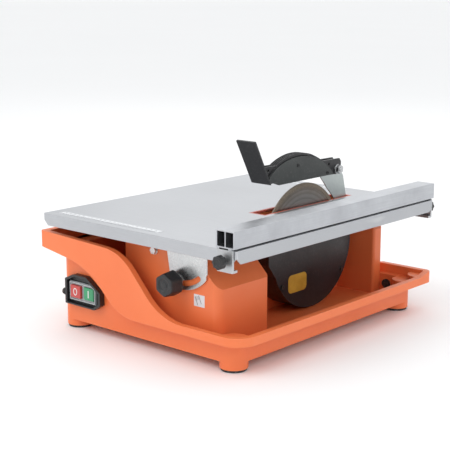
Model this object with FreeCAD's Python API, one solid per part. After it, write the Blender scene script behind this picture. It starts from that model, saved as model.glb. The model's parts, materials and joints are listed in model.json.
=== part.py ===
# Bench tile cutter with a tilting table, a 200 mm wet blade and a water tray.
# Millimetres. +Z is up, +Y is the feed direction (away from the operator), +X is
# the operator's right. The origin is on the bench, under the centre of the tray.
import FreeCAD
import Part
import math
import os

os.makedirs("parts", exist_ok=True)
V = FreeCAD.Vector

# ---------------------------------------------------------------- driving sizes
blade_dia = 200.0
blade_core = 1.8
blade_rim = 2.4
rim_depth = 7.0
arbor_bore = 25.4
blade_hole_circle_r = 46.0
blade_x = 70.0
blade_y = 70.0
blade_z = 124.0

table_left = -200.0
table_right = 206.0
table_half = 252.0
table_top_z = 187.0
table_sheet = 1.5
table_flange = 19.5
tilt_max = 45.0
hinge_z = 169.0
hinge_pin_r = 5.0
hinge_nut_pocket_r = 7.9

lip_x = 211.0
lip_y = 250.0
lip_width = 10.0
wall_x = 186.0
wall_y = 231.0
wall = 3.0
floor_z = 15.0
corner_r = 21.0
foot_x = 165.0
foot_y = 210.0
foot_h = 4.0

island_top = 182.0
island_wall = 4.0
island_front = -215.0
island_rear = 206.0
well_x = 46.0
post_x = 121.0
post_corner_r = 5.0
front_post_x = 140.0
front_post_end = -102.0
front_post_r = 13.0

lock_r = 56.0
lock_deg = -97.5
bracket_t = 3.0
air = 0.3
run_fit = 0.06

under_table = table_top_z - table_sheet
blade_r = blade_dia / 2.0


# ---------------------------------------------------------------- small helpers
def box(x0, x1, y0, y1, z0, z1):
    return Part.makeBox(x1 - x0, y1 - y0, z1 - z0, V(x0, y0, z0))


def cyl_x(x0, x1, r, y, z):
    return Part.makeCylinder(r, x1 - x0, V(x0, y, z), V(1, 0, 0))


def cyl_y(y0, y1, r, x, z):
    return Part.makeCylinder(r, y1 - y0, V(x, y0, z), V(0, 1, 0))


def cyl_z(z0, z1, r, x, y):
    return Part.makeCylinder(r, z1 - z0, V(x, y, z0), V(0, 0, 1))


def ring_x(x0, x1, r_out, r_in, y, z):
    return cyl_x(x0, x1, r_out, y, z).cut(cyl_x(x0 - 1, x1 + 1, r_in, y, z))


def hex_x(x0, x1, across, y, z):
    return hex_prism(V(x0, y, z), V(1, 0, 0), across, x1 - x0)


def hex_y(y0, y1, across, x, z):
    return hex_prism(V(x, y0, z), V(0, 1, 0), across, y1 - y0)


def hex_prism(base, axis, across, length):
    r = across / 2.0 / math.cos(math.pi / 6)
    points = [V(r * math.cos(a), r * math.sin(a), 0) for a in [math.pi / 3 * i for i in range(7)]]
    prism = Part.Face(Part.makePolygon(points)).extrude(V(0, 0, length))
    prism.Placement = FreeCAD.Placement(base, FreeCAD.Rotation(V(0, 0, 1), axis))
    return prism


def cross_x(x0, x1, size, y, z):
    """Cross recess for a screwdriver, cut along X."""
    arm = 0.9
    return box(x0, x1, y - size, y + size, z - arm, z + arm).fuse(
        box(x0, x1, y - arm, y + arm, z - size, z + size))


def fuse(shapes):
    first = shapes[0]
    return first.multiFuse(shapes[1:]).removeSplitter() if len(shapes) > 1 else first


def plate_xz(points, y0, y1):
    wire = Part.makePolygon([V(x, y0, z) for x, z in points + points[:1]])
    return Part.Face(wire).extrude(V(0, y1 - y0, 0))


def plate_yz(points, x0, x1):
    wire = Part.makePolygon([V(x0, y, z) for y, z in points + points[:1]])
    return Part.Face(wire).extrude(V(x1 - x0, 0, 0))


def plate_xy(points, z0, z1):
    wire = Part.makePolygon([V(x, y, z0) for x, y in points + points[:1]])
    return Part.Face(wire).extrude(V(0, 0, z1 - z0))


def rounded_slab(half_x, half_y, radii, z0, z1):
    """Upright block about the origin. radii are those of the left, front right and rear right corners."""
    slab = box(-half_x, half_x, -half_y, half_y, z0, z1)
    left, front_right, rear_right = radii
    for radius, x, y in ((left, -half_x, -half_y), (left, -half_x, half_y),
                         (front_right, half_x, -half_y), (rear_right, half_x, half_y)):
        middle = V(x, y, (z0 + z1) / 2.0)
        edges = [e for e in slab.Edges if e.CenterOfMass.distanceToPoint(middle) < 0.01]
        slab = slab.makeFillet(radius, edges)
    return slab


def even(radius):
    return (radius, radius, radius)


def is_upright(edge):
    low, high = edge.Vertexes[0].Point, edge.Vertexes[-1].Point
    return abs(low.x - high.x) < 0.01 and abs(low.y - high.y) < 0.01


def same_edges(shape, wanted):
    """The edges of shape that lie where the wanted edges of an earlier shape did."""
    places = [e.CenterOfMass for e in wanted]
    return [e for e in shape.Edges if min(e.CenterOfMass.distanceToPoint(p) for p in places) < 0.01]


def blended_path(points, radii, y):
    """Edges in the XZ plane at y: straight runs with a tangent arc of each radius at its corner."""
    corners = [V(x, y, z) for x, z in points]
    edges = []
    start = corners[0]
    for i, radius in enumerate(radii):
        before, corner, after = corners[i], corners[i + 1], corners[i + 2]
        into = (corner - before).normalize()
        out = (after - corner).normalize()
        half = into.getAngle(out) / 2.0
        reach = radius * math.tan(half)
        enter = corner - into * reach
        leave = corner + out * reach
        bisector = (out - into).normalize()
        middle = corner + bisector * (radius / math.cos(half) - radius)
        edges.append(Part.makeLine(start, enter))
        edges.append(Part.Arc(enter, middle, leave).toShape())
        start = leave
    edges.append(Part.makeLine(start, corners[-1]))
    return edges


# The side profile of the tray: a high left half that drops in an S to a low right half.
top_points = [(-230, 158), (-28, 149.5), (56.7, 60), (230, 60)]
top_radii = [84, 96]
crease_points = [(-230, 134), (-101.6, 113.8), (-32.3, 48), (230, 47)]
crease_radii = [143, 82]


def under_profile(points, radii, lift, z_low, half_y):
    """Solid between z_low and the side profile raised by lift."""
    shifted = [(x, z + lift) for x, z in points]
    edges = blended_path(shifted, radii, -half_y)
    x0, z0 = shifted[0]
    x1, z1 = shifted[-1]
    right = Part.makeLine(V(x1, -half_y, z1), V(x1, -half_y, z_low))
    bottom = Part.makeLine(V(x1, -half_y, z_low), V(x0, -half_y, z_low))
    left = Part.makeLine(V(x0, -half_y, z_low), V(x0, -half_y, z0))
    face = Part.Face(Part.Wire(edges + [right, bottom, left]))
    return face.extrude(V(0, 2 * half_y, 0))


def save(name, shape):
    solids = shape.Solids
    result = solids[0] if len(solids) == 1 else Part.makeCompound(solids)
    result.exportStep("parts/" + name + ".step")
    size = result.BoundBox
    print("%-22s solids %2d vol %9.1f valid %s x %.1f..%.1f y %.1f..%.1f z %.1f..%.1f" % (
        name, len(solids), result.Volume, result.isValid(), size.XMin, size.XMax,
        size.YMin, size.YMax, size.ZMin, size.ZMax))


def feet_places():
    return [(sx * foot_x, sy * foot_y) for sx in (-1, 1) for sy in (-1, 1)]


# ---------------------------------------------------------------- water tray
island_outline = [
    (-51, island_front), (front_post_x, island_front), (front_post_x, front_post_end),
    (well_x, front_post_end),
    (well_x, island_rear), (post_x, island_rear), (post_x, wall_y - 1),
    (-125, wall_y - 1), (-125, -141),
]
motor_bolt_r = 40.0
motor_bolt_places = [
    (blade_y + motor_bolt_r * math.cos(a), blade_z + motor_bolt_r * math.sin(a))
    for a in [math.pi / 4 + math.pi / 2 * i for i in range(4)]
]
bay_left = -wall_x + wall
bay_right = -84.0
bay_rear = -150.0
bay_top = 100.0
switch_x = -128.0
switch_z = 64.0
gland_y = -205.0
gland_z = 47.5
drain_x = 134.0
drain_z = 34.0
drain_r = 8.0
stop_bolt = (12.5, 152.7)
lock_x = blade_x + lock_r * math.cos(math.radians(lock_deg))
lock_z = hinge_z + lock_r * math.sin(math.radians(lock_deg))


def tilt_clearance(drop, y0, y1):
    """Wedge above a 45 degree line right of the hinge, where the table swings down."""
    top = island_top - drop
    wedge = [(blade_x, top), (blade_x + 80, top - 80), (blade_x + 80, 260), (blade_x, 260)]
    return plate_xz(wedge, y0, y1)


def rear_rise():
    """Part of the rear rim that stands above the low right half, with a ramp at each end."""
    across = plate_yz([(214, 55), (214, 60), (238, 66), (260, 66), (260, 55)], 84, 220)
    along = plate_xz([(84, 55), (84, 60.5), (112, 66), (220, 66), (220, 55)], 200, 270)
    return across.common(along).common(rounded_slab(lip_x, lip_y, (4, 34, 12), 0, 200))


def base_tray():
    rim_block = under_profile(top_points, top_radii, 0, 0, 300)
    rim_block = rim_block.cut(under_profile(crease_points, crease_radii, 0, -10, 310))
    rim_block = rim_block.common(rounded_slab(lip_x, lip_y, (4, 34, 12), 0, 200))
    wall_block = under_profile(crease_points, crease_radii, 3, floor_z, 300)
    wall_block = wall_block.common(rounded_slab(wall_x, wall_y, even(corner_r), floor_z, 200))
    body = fuse([rim_block, wall_block])
    upper = under_profile(crease_points, crease_radii, 3.5, -10, 310)
    upper = rounded_slab(lip_x - lip_width, lip_y - lip_width, (2, 24, 4), 0, 220).cut(upper)
    lower = rounded_slab(wall_x - wall, wall_y - wall, even(corner_r - wall), floor_z + wall, 220)
    body = fuse([body.cut(upper).cut(lower), rear_rise().cut(upper)])
    groove = rounded_slab(lip_x - 3, lip_y - 3, (2, 31, 9), 0, 200)
    groove = groove.cut(rounded_slab(lip_x - 7, lip_y - 7, (1, 27, 5), -1, 201))
    groove = groove.common(under_profile(top_points, top_radii, -4, 0, 310))
    body = body.cut(groove)

    island = plate_xy(island_outline, floor_z, island_top)
    outer = [e for e in island.Edges if is_upright(e) and e.Vertexes[0].X > post_x - 0.01]
    nearest = [e for e in outer if e.Vertexes[0].Y < island_front + 0.01]
    others = [e for e in outer if e.Vertexes[0].Y > island_front + 0.01]
    island = island.makeFillet(post_corner_r, others)
    island = island.makeFillet(front_post_r, same_edges(island, nearest)).cut(tilt_clearance(0, -300, 300))
    inside_wall = rounded_slab(wall_x - 1, wall_y - 1, even(corner_r - 1), 0, 200)
    bay = box(bay_left - 1, bay_right, -wall_y + 1, bay_rear, floor_z, bay_top).common(inside_wall)
    columns = [cyl_z(floor_z, 46, 24, foot_x, -foot_y), cyl_z(floor_z, 50.5, 20, foot_x + 9, foot_y + 11)]
    columns = [c.common(inside_wall) for c in columns]
    bosses = [cyl_z(foot_h, floor_z + 1, corner_r, x, y) for x, y in feet_places()]
    gussets = [cyl_z(133, 138, 26, -180, sy * 222) for sy in (-1, 1)] + [cyl_z(56, 60, 24, 199, 237)]
    gussets = [g.common(rounded_slab(lip_x - 4, lip_y - 4, (2, 30, 8), 0, 200)) for g in gussets]
    body = fuse([body, island, bay] + columns + bosses + gussets)

    corners = [V(x, y, floor_z - 5) for x, y in island_outline + island_outline[:1]]
    inset = Part.Face(Part.makePolygon(corners)).makeOffset2D(-island_wall)
    hollow = inset.extrude(V(0, 0, island_top - island_wall - floor_z + 5))
    hollow = hollow.cut(tilt_clearance(island_wall * math.sqrt(2), -300, 300))
    floor_strip = box(post_x - island_wall, 150, island_front, front_post_end, 0, floor_z + wall)
    inner_corner = plate_xy([(124, -212), (137, -212), (137, -199)], 0, 200)
    hollow = hollow.cut(floor_strip).cut(inner_corner)
    wall_inside = rounded_slab(wall_x - wall, wall_y - wall, even(corner_r - wall), 0, 200)
    bay_hollow = box(bay_left + 4, bay_right - 4, -wall_y + wall, bay_rear - 4, 40, bay_top - 4)
    bay_hollow = bay_hollow.common(wall_inside)
    body = body.cut(hollow).cut(bay_hollow)

    cuts = [cyl_z(0, floor_z, 2.6, x, y) for x, y in feet_places()]
    cuts.append(button_opening(-wall_y - 1, -wall_y + wall + 1))
    cuts.append(cyl_x(-wall_x - 1, bay_left + 5, 7.1, gland_y, gland_z))
    cuts.append(cyl_y(wall_y - wall - 1, wall_y + 1, drain_r, drain_x, drain_z))
    cuts.append(cyl_x(well_x - 5, well_x + 1, 16, blade_y, blade_z))
    cuts += [cyl_x(well_x - 5, well_x + 1, 3.1, y, z) for y, z in motor_bolt_places]
    for face in (island_front, island_rear):
        cuts.append(cyl_y(face - 1, face + island_wall + 1, hinge_pin_r + 0.1, blade_x, hinge_z))
        cuts.append(cyl_y(face + island_wall, face + 14, hinge_nut_pocket_r, blade_x, hinge_z))
    cuts.append(cyl_y(island_front - 1, island_front + 5, 4.1, lock_x, lock_z))
    cuts.append(cyl_y(island_front - 1, island_front + 5, 3.1, *stop_bolt))
    cuts += [cyl_x(well_x - 5, well_x + 1, 2.6, y, z) for y, z in knife_screw_places()]
    cuts += [cyl_z(floor_z - 1, floor_z + wall - 0.5, 1.6, x, y) for x, y in cover_screw_places()]
    return body.cut(Part.makeCompound(cuts))


def knife_screw_places():
    return [(182.0, 102.0), (182.0, 116.0)]


def cover_screw_places():
    return [(x, y) for x in (-126.5, 124) for y in (-180, 0, 180)]


def motor_cover():
    plate = box(-131, 129, -219, 224, floor_z - 3, floor_z)
    vents = [box(-95 + 14 * i, -89 + 14 * i, 30, 110, floor_z - 4, floor_z + 1)
             for i in range(9)]
    holes = [cyl_z(floor_z - 4, floor_z + 1, 1.9, x, y) for x, y in cover_screw_places()]
    return plate.cut(Part.makeCompound(vents + holes))


def cover_screws():
    heads = [cyl_z(floor_z - 5, floor_z - 3, 3.4, x, y) for x, y in cover_screw_places()]
    shanks = [cyl_z(floor_z - 3, floor_z + 2, 1.5, x, y) for x, y in cover_screw_places()]
    return Part.makeCompound([h.fuse(s) for h, s in zip(heads, shanks)])


def rubber_feet():
    feet = []
    for x, y in feet_places():
        foot = cyl_z(0, foot_h, 19.5, x, y)
        foot = foot.makeChamfer(0.8, [e for e in foot.Edges if abs(e.CenterOfMass.z) < 0.01])
        feet.append(foot.cut(cyl_z(-1, 2, 5.5, x, y)).cut(cyl_z(0, 5, 2.6, x, y)))
    return Part.makeCompound(feet)


def foot_screws():
    screws = []
    for x, y in feet_places():
        head = cyl_z(0.6, 2, 4.8, x, y)
        screws.append(head.fuse(cyl_z(2, 13, 2.5, x, y)))
    return Part.makeCompound(screws)


def rest_pads():
    pads = [cyl_z(island_top, under_table - air, 14.5, -48, y) for y in (-196, 212)]
    return Part.makeCompound(pads)


def drain_plug():
    shank = cyl_y(wall_y - wall - 3, wall_y + air, drain_r - 0.1, drain_x, drain_z)
    flange = cyl_y(wall_y + air, wall_y + 3, 11, drain_x, drain_z)
    tab = box(drain_x - 6, drain_x + 6, wall_y + 3, wall_y + 12, drain_z - 1.5, drain_z + 1.5)
    return fuse([shank, flange, tab])


# ---------------------------------------------------------------- switch and inlet
housing_outline = [(-38, -21), (30, -21), (44, -12), (44, 8), (12, 29), (-18, 29), (-38, 20)]
front_y = -wall_y


def shifted_outline(outline, grow):
    """The outline moved in or out from its own centre and placed on the wall."""
    return [(switch_x + x * grow, switch_z + z * grow) for x, z in outline]


def switch_housing():
    outer = plate_xz(shifted_outline(housing_outline, 1.0), front_y - 10, front_y)
    bowl = plate_xz(shifted_outline(housing_outline, 0.88), front_y - 11, front_y - 2)
    return outer.cut(bowl).cut(button_opening(front_y - 3, front_y + 1))


def button_opening(y0, y1):
    return box(switch_x - 29, switch_x + 27, y0, y1, switch_z - 11, switch_z + 13)


def switch_plate():
    outline = [(-31.5, -14.5), (29.5, -14.5), (29.5, 12.3), (23.2, 16.5), (-31.5, 16.5)]
    plate = plate_xz(shifted_outline(outline, 1.0), front_y - 5, front_y - 2)
    windows = [box(x0 - 0.4, x1 + 0.4, front_y - 6, front_y - 1, z0 - 0.4, z1 + 0.4)
               for x0, x1, z0, z1 in (stop_window, start_window)]
    return plate.cut(Part.makeCompound(windows))


stop_window = (switch_x - 26, switch_x - 3, switch_z - 9, switch_z + 11)
start_window = (switch_x + 3, switch_x + 25, switch_z - 9, switch_z + 11)


def button(window, front):
    x0, x1, z0, z1 = window
    cap = box(x0, x1, front, front_y + 2, z0, z1)
    cap = cap.makeFillet(1.2, [e for e in cap.Edges if e.CenterOfMass.y < front + 0.01])
    return cap.fuse(box(x0 + 6, x1 - 6, front_y + 2, front_y + 8, z0 + 6, z1 - 6))


def switch_body():
    body = box(switch_x - 28.7, switch_x + 27.7, front_y + wall + 0.1, front_y + 40, 50.5, 79.5)
    bores = [box(w[0] - 0.5, w[1] + 0.5, front_y, front_y + 14, w[2] - 0.5, w[3] + 0.5)
             for w in (stop_window, start_window)]
    return body.cut(Part.makeCompound(bores))


def cable_gland():
    """Ribbed rubber sleeve that widens from its tip to the wall of the tray."""
    length, pitch = 24.0, 4.4
    tip = -wall_x - length
    body = Part.makeCone(4.2, 7.6, length, V(tip, gland_y, gland_z), V(1, 0, 0))
    flange = cyl_x(-wall_x - 2, -wall_x, 10, gland_y, gland_z)
    inner = cyl_x(-wall_x, bay_left + 7, 7, gland_y, gland_z)
    ribs = [cyl_x(tip + pitch * i, tip + pitch * i + 2.4, 5.2 + 0.95 * i, gland_y, gland_z)
            for i in range(5)]
    return fuse([body, flange, inner] + ribs).cut(cyl_x(tip - 1, bay_left + 8, 3.3, gland_y, gland_z))


# ---------------------------------------------------------------- motor
motor_r = 50.0
motor_x0 = -82.0
motor_x1 = 26.0


def motor_housing():
    tube = ring_x(motor_x0, motor_x1, motor_r, motor_r - 3, blade_y, blade_z)
    ribs = []
    for i in range(18):
        rib = box(motor_x0 + 12, motor_x1 - 12, blade_y - 1, blade_y + 1,
                  blade_z + motor_r - 1, blade_z + motor_r + 2.5)
        rib.rotate(V(0, blade_y, blade_z), V(1, 0, 0), 20 * i)
        ribs.append(rib)
    return fuse([tube] + ribs)


def bell(x0, x1, boss0, boss1, r):
    disc = cyl_x(x0, x1, r, blade_y, blade_z)
    boss = cyl_x(boss0, boss1, 22, blade_y, blade_z)
    return disc.fuse(boss)


def motor_flange():
    shape = bell(motor_x1, well_x - island_wall, motor_x1 - 4, well_x - island_wall, motor_r)
    seat = cyl_x(motor_x1 + 3, well_x, 17.5, blade_y, blade_z)
    shaft = cyl_x(motor_x1 - 5, well_x, 10, blade_y, blade_z)
    bolts = [cyl_x(motor_x1 + 2, well_x, 3.1, y, z) for y, z in motor_bolt_places]
    return shape.cut(Part.makeCompound([seat, shaft] + bolts))


def motor_end_bell():
    shape = bell(motor_x0 - 6, motor_x0, motor_x0 - 12, motor_x0 + 4, motor_r)
    seat = cyl_x(motor_x0 - 9, motor_x0 + 5, 16, blade_y, blade_z)
    return shape.cut(seat).cut(cyl_x(motor_x0 - 13, motor_x0, 10, blade_y, blade_z))


def bearings():
    front = ring_x(motor_x1 + 3, motor_x1 + 14, 17.45, 8.05, blade_y, blade_z)
    rear = ring_x(motor_x0 - 9, motor_x0 + 1, 15.95, 8.05, blade_y, blade_z)
    return Part.makeCompound([front, rear])


def stator():
    ring = ring_x(-60, 4, motor_r - 3.05, 31, blade_y, blade_z)
    coils = [ring_x(x0, x1, 44, 33, blade_y, blade_z) for x0, x1 in ((-72, -60), (4, 16))]
    return fuse([ring] + coils)


def rotor_shaft():
    shaft = cyl_x(-112, 86, 8, blade_y, blade_z)
    core = cyl_x(-60, 4, 30.5, blade_y, blade_z)
    return fuse([shaft, core])


def motor_fan():
    hub = ring_x(-109, -99, 13, 8.05, blade_y, blade_z)
    disc = ring_x(-101, -99, 42, 8.05, blade_y, blade_z)
    blades = []
    for i in range(8):
        vane = box(-109, -101, blade_y - 1, blade_y + 1, blade_z + 12, blade_z + 42)
        vane.rotate(V(0, blade_y, blade_z), V(1, 0, 0), 45 * i)
        blades.append(vane)
    return fuse([hub, disc] + blades)


def fan_cowl():
    shell = cyl_x(-116, motor_x0 - 6, 47, blade_y, blade_z)
    shell = shell.cut(cyl_x(-114, motor_x0 - 5, 45, blade_y, blade_z))
    slots = [box(-117, -113, blade_y - 30, blade_y + 30, blade_z - 32 + 10 * i, blade_z - 28 + 10 * i)
             for i in range(7)]
    return shell.cut(Part.makeCompound(slots))


def motor_bolts():
    bolts = []
    for y, z in motor_bolt_places:
        head = hex_x(well_x + 3, well_x + 8, 10, y, z)
        bolts.append(head.fuse(cyl_x(motor_x1 + 3, well_x + 3, 3, y, z)))
    return Part.makeCompound(bolts)


def shaft_seal():
    return ring_x(well_x - island_wall, well_x, 15.95, 8 + run_fit, blade_y, blade_z)


def capacitor():
    can = cyl_x(-70, 0, 17, 165, 60)
    return can.fuse(cyl_x(0, 6, 12, 165, 60))


def capacitor_clip():
    band = ring_x(-42, -30, 19, 17.05, 165, 60)
    foot = box(-42, -30, 150, 180, floor_z, 45).cut(cyl_x(-43, -29, 17.05, 165, 60))
    return band.fuse(foot)


# ---------------------------------------------------------------- blade and lower guard
def inner_flange():
    disc = ring_x(60, blade_x - blade_core / 2, 30, 8.05, blade_y, blade_z)
    hub = ring_x(60, blade_x + blade_core / 2 - 0.2, arbor_bore / 2 - 0.05, 8.05, blade_y, blade_z)
    relief = ring_x(blade_x - blade_core / 2 - 1, blade_x, 24, 14, blade_y, blade_z)
    return disc.cut(relief).fuse(hub)


def outer_flange():
    x0 = blade_x + blade_core / 2
    disc = ring_x(x0, x0 + 5, 30, 8.05, blade_y, blade_z)
    return disc.cut(ring_x(x0 - 1, x0 + 1, 24, 13, blade_y, blade_z))


def arbor_nut():
    x0 = blade_x + blade_core / 2 + 5
    return hex_x(x0, x0 + 8, 24, blade_y, blade_z).cut(cyl_x(x0 - 1, x0 + 9, 8.05, blade_y, blade_z))


def blade_disc():
    core = ring_x(blade_x - blade_core / 2, blade_x + blade_core / 2, blade_r - rim_depth,
                  arbor_bore / 2, blade_y, blade_z)
    holes = []
    for i in range(8):
        a = math.pi / 4 * i
        y, z = blade_y + blade_hole_circle_r * math.cos(a), blade_z + blade_hole_circle_r * math.sin(a)
        holes.append(cyl_x(blade_x - 3, blade_x + 3, 4, y, z))
    return core.cut(Part.makeCompound(holes))


def blade_cutting_rim():
    return ring_x(blade_x - blade_rim / 2, blade_x + blade_rim / 2, blade_r,
                  blade_r - rim_depth, blade_y, blade_z)


guard_r = 104.0
guard_top = 164.0
guard_x1 = 86.0
guard_face = 93.0
badge_y = 29.0
badge_z = 68.0


def guard_form(x0, x1, inset):
    disc = cyl_x(x0, x1, guard_r - inset, blade_y, blade_z)
    front = [(-27 + inset, 86), (-44 + inset, 108), (-46 + inset, 190)]
    tower = plate_yz(front + [(16, 190), (40, 100), (40, 70)], x0, x1)
    return disc.fuse(tower)


def lower_guard_back():
    shell = guard_form(well_x, guard_x1, 0).common(box(0, 200, -200, 200, 0, guard_top))
    shell = shell.cut(guard_form(well_x + 3, guard_x1 + 1, 2.5))
    holes = [cyl_x(well_x - 1, well_x + 4, 3.1, y, z) for y, z in motor_bolt_places]
    holes.append(cyl_x(well_x - 1, well_x + 4, 17, blade_y, blade_z))
    holes += [cyl_x(guard_x1 - 12, guard_x1 + 1, 1.6, y, z) for y, z in guard_screw_places]
    bosses = [cyl_x(guard_x1 - 11, guard_x1, 6, y, z) for y, z in guard_screw_places]
    return fuse([shell] + bosses).cut(Part.makeCompound(holes))


guard_screw_r = 97.5
guard_screw_places = [(blade_y + guard_screw_r * math.cos(a), blade_z + guard_screw_r * math.sin(a))
                      for a in [math.radians(degrees) for degrees in (10, 215, 325)]]


def lower_guard_cover():
    cover = guard_form(guard_x1, guard_face, 0).common(box(0, 200, -200, 200, 0, guard_top))
    cover = cover.cut(guard_form(guard_x1 - 1, guard_face - 3, 2.5))
    bosses = [cyl_x(guard_x1, guard_face - 2, 6, y, z) for y, z in guard_screw_places]
    cover = fuse([cover] + bosses)
    holes = [cyl_x(guard_x1 - 1, guard_face + 1, 2.1, y, z) for y, z in guard_screw_places]
    return cover.cut(Part.makeCompound(holes))


def lower_guard_screws():
    screws = []
    for y, z in guard_screw_places:
        head = cyl_x(guard_face, guard_face + 2, 3.6, y, z)
        head = head.cut(cross_x(guard_face + 0.8, guard_face + 3, 2.2, y, z))
        screws.append(head.fuse(cyl_x(guard_x1 - 9, guard_face, 1.55, y, z)))
    return Part.makeCompound(screws)


def guard_badge():
    """Blank label with rounded corners."""
    label = box(guard_face, guard_face + 0.5, badge_y - 24, badge_y + 24, badge_z - 15, badge_z + 15)
    corners = [e for e in label.Edges if abs(e.Vertexes[0].X - e.Vertexes[-1].X) > 0.4]
    return label.makeFillet(8, corners)


# ---------------------------------------------------------------- riving knife and upper guard
guard_pivot_y = 154.0
guard_pivot_z = 238.0
knife_t = 2.2
hood_x0 = 60.0
hood_x1 = 77.0
cheek_x1 = 80.0


def riving_knife():
    back = [(178, 94), (192, 94), (194, 120), (191, 184), (181, 222)]
    outline = back + [(166, 246), (146, 246), (113, 232), (134, 209), (120, 90)]
    plate = plate_yz(outline, blade_x - knife_t / 2, blade_x + knife_t / 2)
    plate = plate.cut(cyl_x(60, 80, blade_r + 5.5, blade_y, blade_z))
    plate = plate.common(box(60, 80, 100, 200, 90, 250)).Solids
    plate = max(plate, key=lambda s: s.Volume)
    holes = [cyl_x(60, 80, 2.6, y, z) for y, z in knife_screw_places()]
    holes.append(cyl_x(60, 80, 4.05, guard_pivot_y, guard_pivot_z))
    return plate.cut(Part.makeCompound(holes))


def knife_bracket():
    web = box(well_x, blade_x - knife_t / 2, 178, 196, 94, 124)
    pocket = box(well_x + 3, blade_x - knife_t / 2 - 3, 177, 192, 90, 130)
    holes = [cyl_x(well_x - 1, blade_x, 2.6, y, z) for y, z in knife_screw_places()]
    return web.cut(pocket).cut(Part.makeCompound(holes))


def knife_screws():
    screws = []
    for y, z in knife_screw_places():
        head = hex_x(blade_x + knife_t / 2, blade_x + knife_t / 2 + 4, 8, y, z)
        screws.append(head.fuse(cyl_x(well_x - 3, blade_x + knife_t / 2, 2.5, y, z)))
    return Part.makeCompound(screws)


def moon(x0, x1, rise, inset):
    """Half-moon of the upper guard: a level lower edge and an arched back."""
    low = V(x0, -28 + inset, 246)
    middle = V(x0, 50, 271 + rise - inset)
    high = V(x0, 137 - inset, 236)
    arc = Part.Arc(low, middle, high).toShape()
    points = [high, V(x0, 139 - inset, 231), V(x0, -4, 231), V(x0, -28 + inset, 239), low]
    lines = [Part.makeLine(points[i], points[i + 1]) for i in range(4)]
    return Part.Face(Part.Wire([arc] + lines)).extrude(V(x1 - x0, 0, 0))


def lug(x0, x1):
    outline = [(118, 231), (161, 229), (165.5, 233.5), (165.5, 250), (161, 255.5), (110, 256)]
    plate = plate_yz(outline, x0, x1)
    return plate.cut(cyl_x(x0 - 1, x1 + 1, 4 + run_fit, guard_pivot_y, guard_pivot_z))


def blade_guard():
    """Hood with an arched roof and a forked lug that straddles the knife."""
    outer = moon(hood_x0, hood_x1, 4, 0)
    inner = moon(hood_x0 + 3, hood_x1 + 1, 4, 3)
    floor = box(hood_x0 + 3, hood_x1 + 1, -24, 108, 200, 240)
    hood = fuse([outer, lug(hood_x0, hood_x1)])
    lug_gap = box(hood_x0 + 3, hood_x1 - 3, 106, 170, 220, 262)
    window = box(hood_x1 - 4, hood_x1 + 1, 128.8, 133.2, 246.2, 251)
    hood = hood.cut(fuse([inner, floor])).cut(lug_gap).cut(window)
    hood = fuse([hood, cyl_x(hood_x0 + 2, hood_x1, 4, *cheek_screw_places[0])])
    holes = [cyl_x(hood_x1 - 5, hood_x1 + 1, 1.3, y, z) for y, z in cheek_screw_places]
    return hood.cut(Part.makeCompound(holes))


cheek_screw_places = [(44.0, 257.0), (123.5, 235.5)]


def guard_cheek():
    plate = moon(hood_x1, cheek_x1, 0, 0)
    holes = [cyl_x(hood_x1 - 1, cheek_x1 + 1, 1.7, y, z) for y, z in cheek_screw_places]
    return plate.cut(Part.makeCompound(holes))


def cheek_screws():
    screws = []
    for y, z in cheek_screw_places:
        head = cyl_x(cheek_x1, cheek_x1 + 1.2, 2.6, y, z)
        head = head.cut(cross_x(cheek_x1 + 0.4, cheek_x1 + 2, 1.7, y, z))
        screws.append(head.fuse(cyl_x(hood_x1 - 4, cheek_x1, 1.25, y, z)))
    return Part.makeCompound(screws)


def guard_visor():
    """Sloping splash plate with two pierced webs behind it that meet the front of the hood."""
    plate = plate_yz([(-34, 236), (-31, 235), (-69, 307.5), (-72, 306.5)], 48, 86)
    tips = [e for e in plate.Edges if e.CenterOfMass.z > 300 and e.Length < 5]
    plate = plate.makeFillet(1.5, tips)
    outline = [(-33, 237), (-20, 237), (-4, 262), (-38, 263), (-54, 276)]
    webs = [plate_yz(outline, x0, x0 + 2.5) for x0 in (hood_x0 + 1, hood_x1 - 3.5)]
    floor = box(hood_x0 + 1, hood_x1 - 1, -32.5, -20, 237, 239.5)
    holes = [cyl_x(hood_x0, hood_x1, r, y, z)
             for r, y, z in ((2.2, -41, 262), (2.6, -27, 256), (2.0, -36, 250))]
    webs = fuse(webs + [floor]).cut(Part.makeCompound(holes))
    webs = webs.cut(moon(hood_x0 - 1, cheek_x1 + 1, 4, 0))
    return plate.fuse(webs).removeSplitter()


def guard_pivot_bolt():
    x0, x1 = hood_x0 - air, hood_x1 + air
    head = hex_x(x0 - 5, x0, 13, guard_pivot_y, guard_pivot_z)
    return head.fuse(cyl_x(x0, x1 + 9, 4, guard_pivot_y, guard_pivot_z))


def guard_pivot_nut():
    x0 = hood_x1 + air
    washer = cyl_x(x0, x0 + 1.5, 8, guard_pivot_y, guard_pivot_z)
    nut = hex_x(x0 + 1.5, x0 + 8, 13, guard_pivot_y, guard_pivot_z)
    return fuse([washer, nut]).cut(cyl_x(x0 - 1, x0 + 9, 4.02, guard_pivot_y, guard_pivot_z))


# ---------------------------------------------------------------- tilting table
slot = (blade_x - 26, blade_x + 8, -36.0, 198.0)


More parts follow.
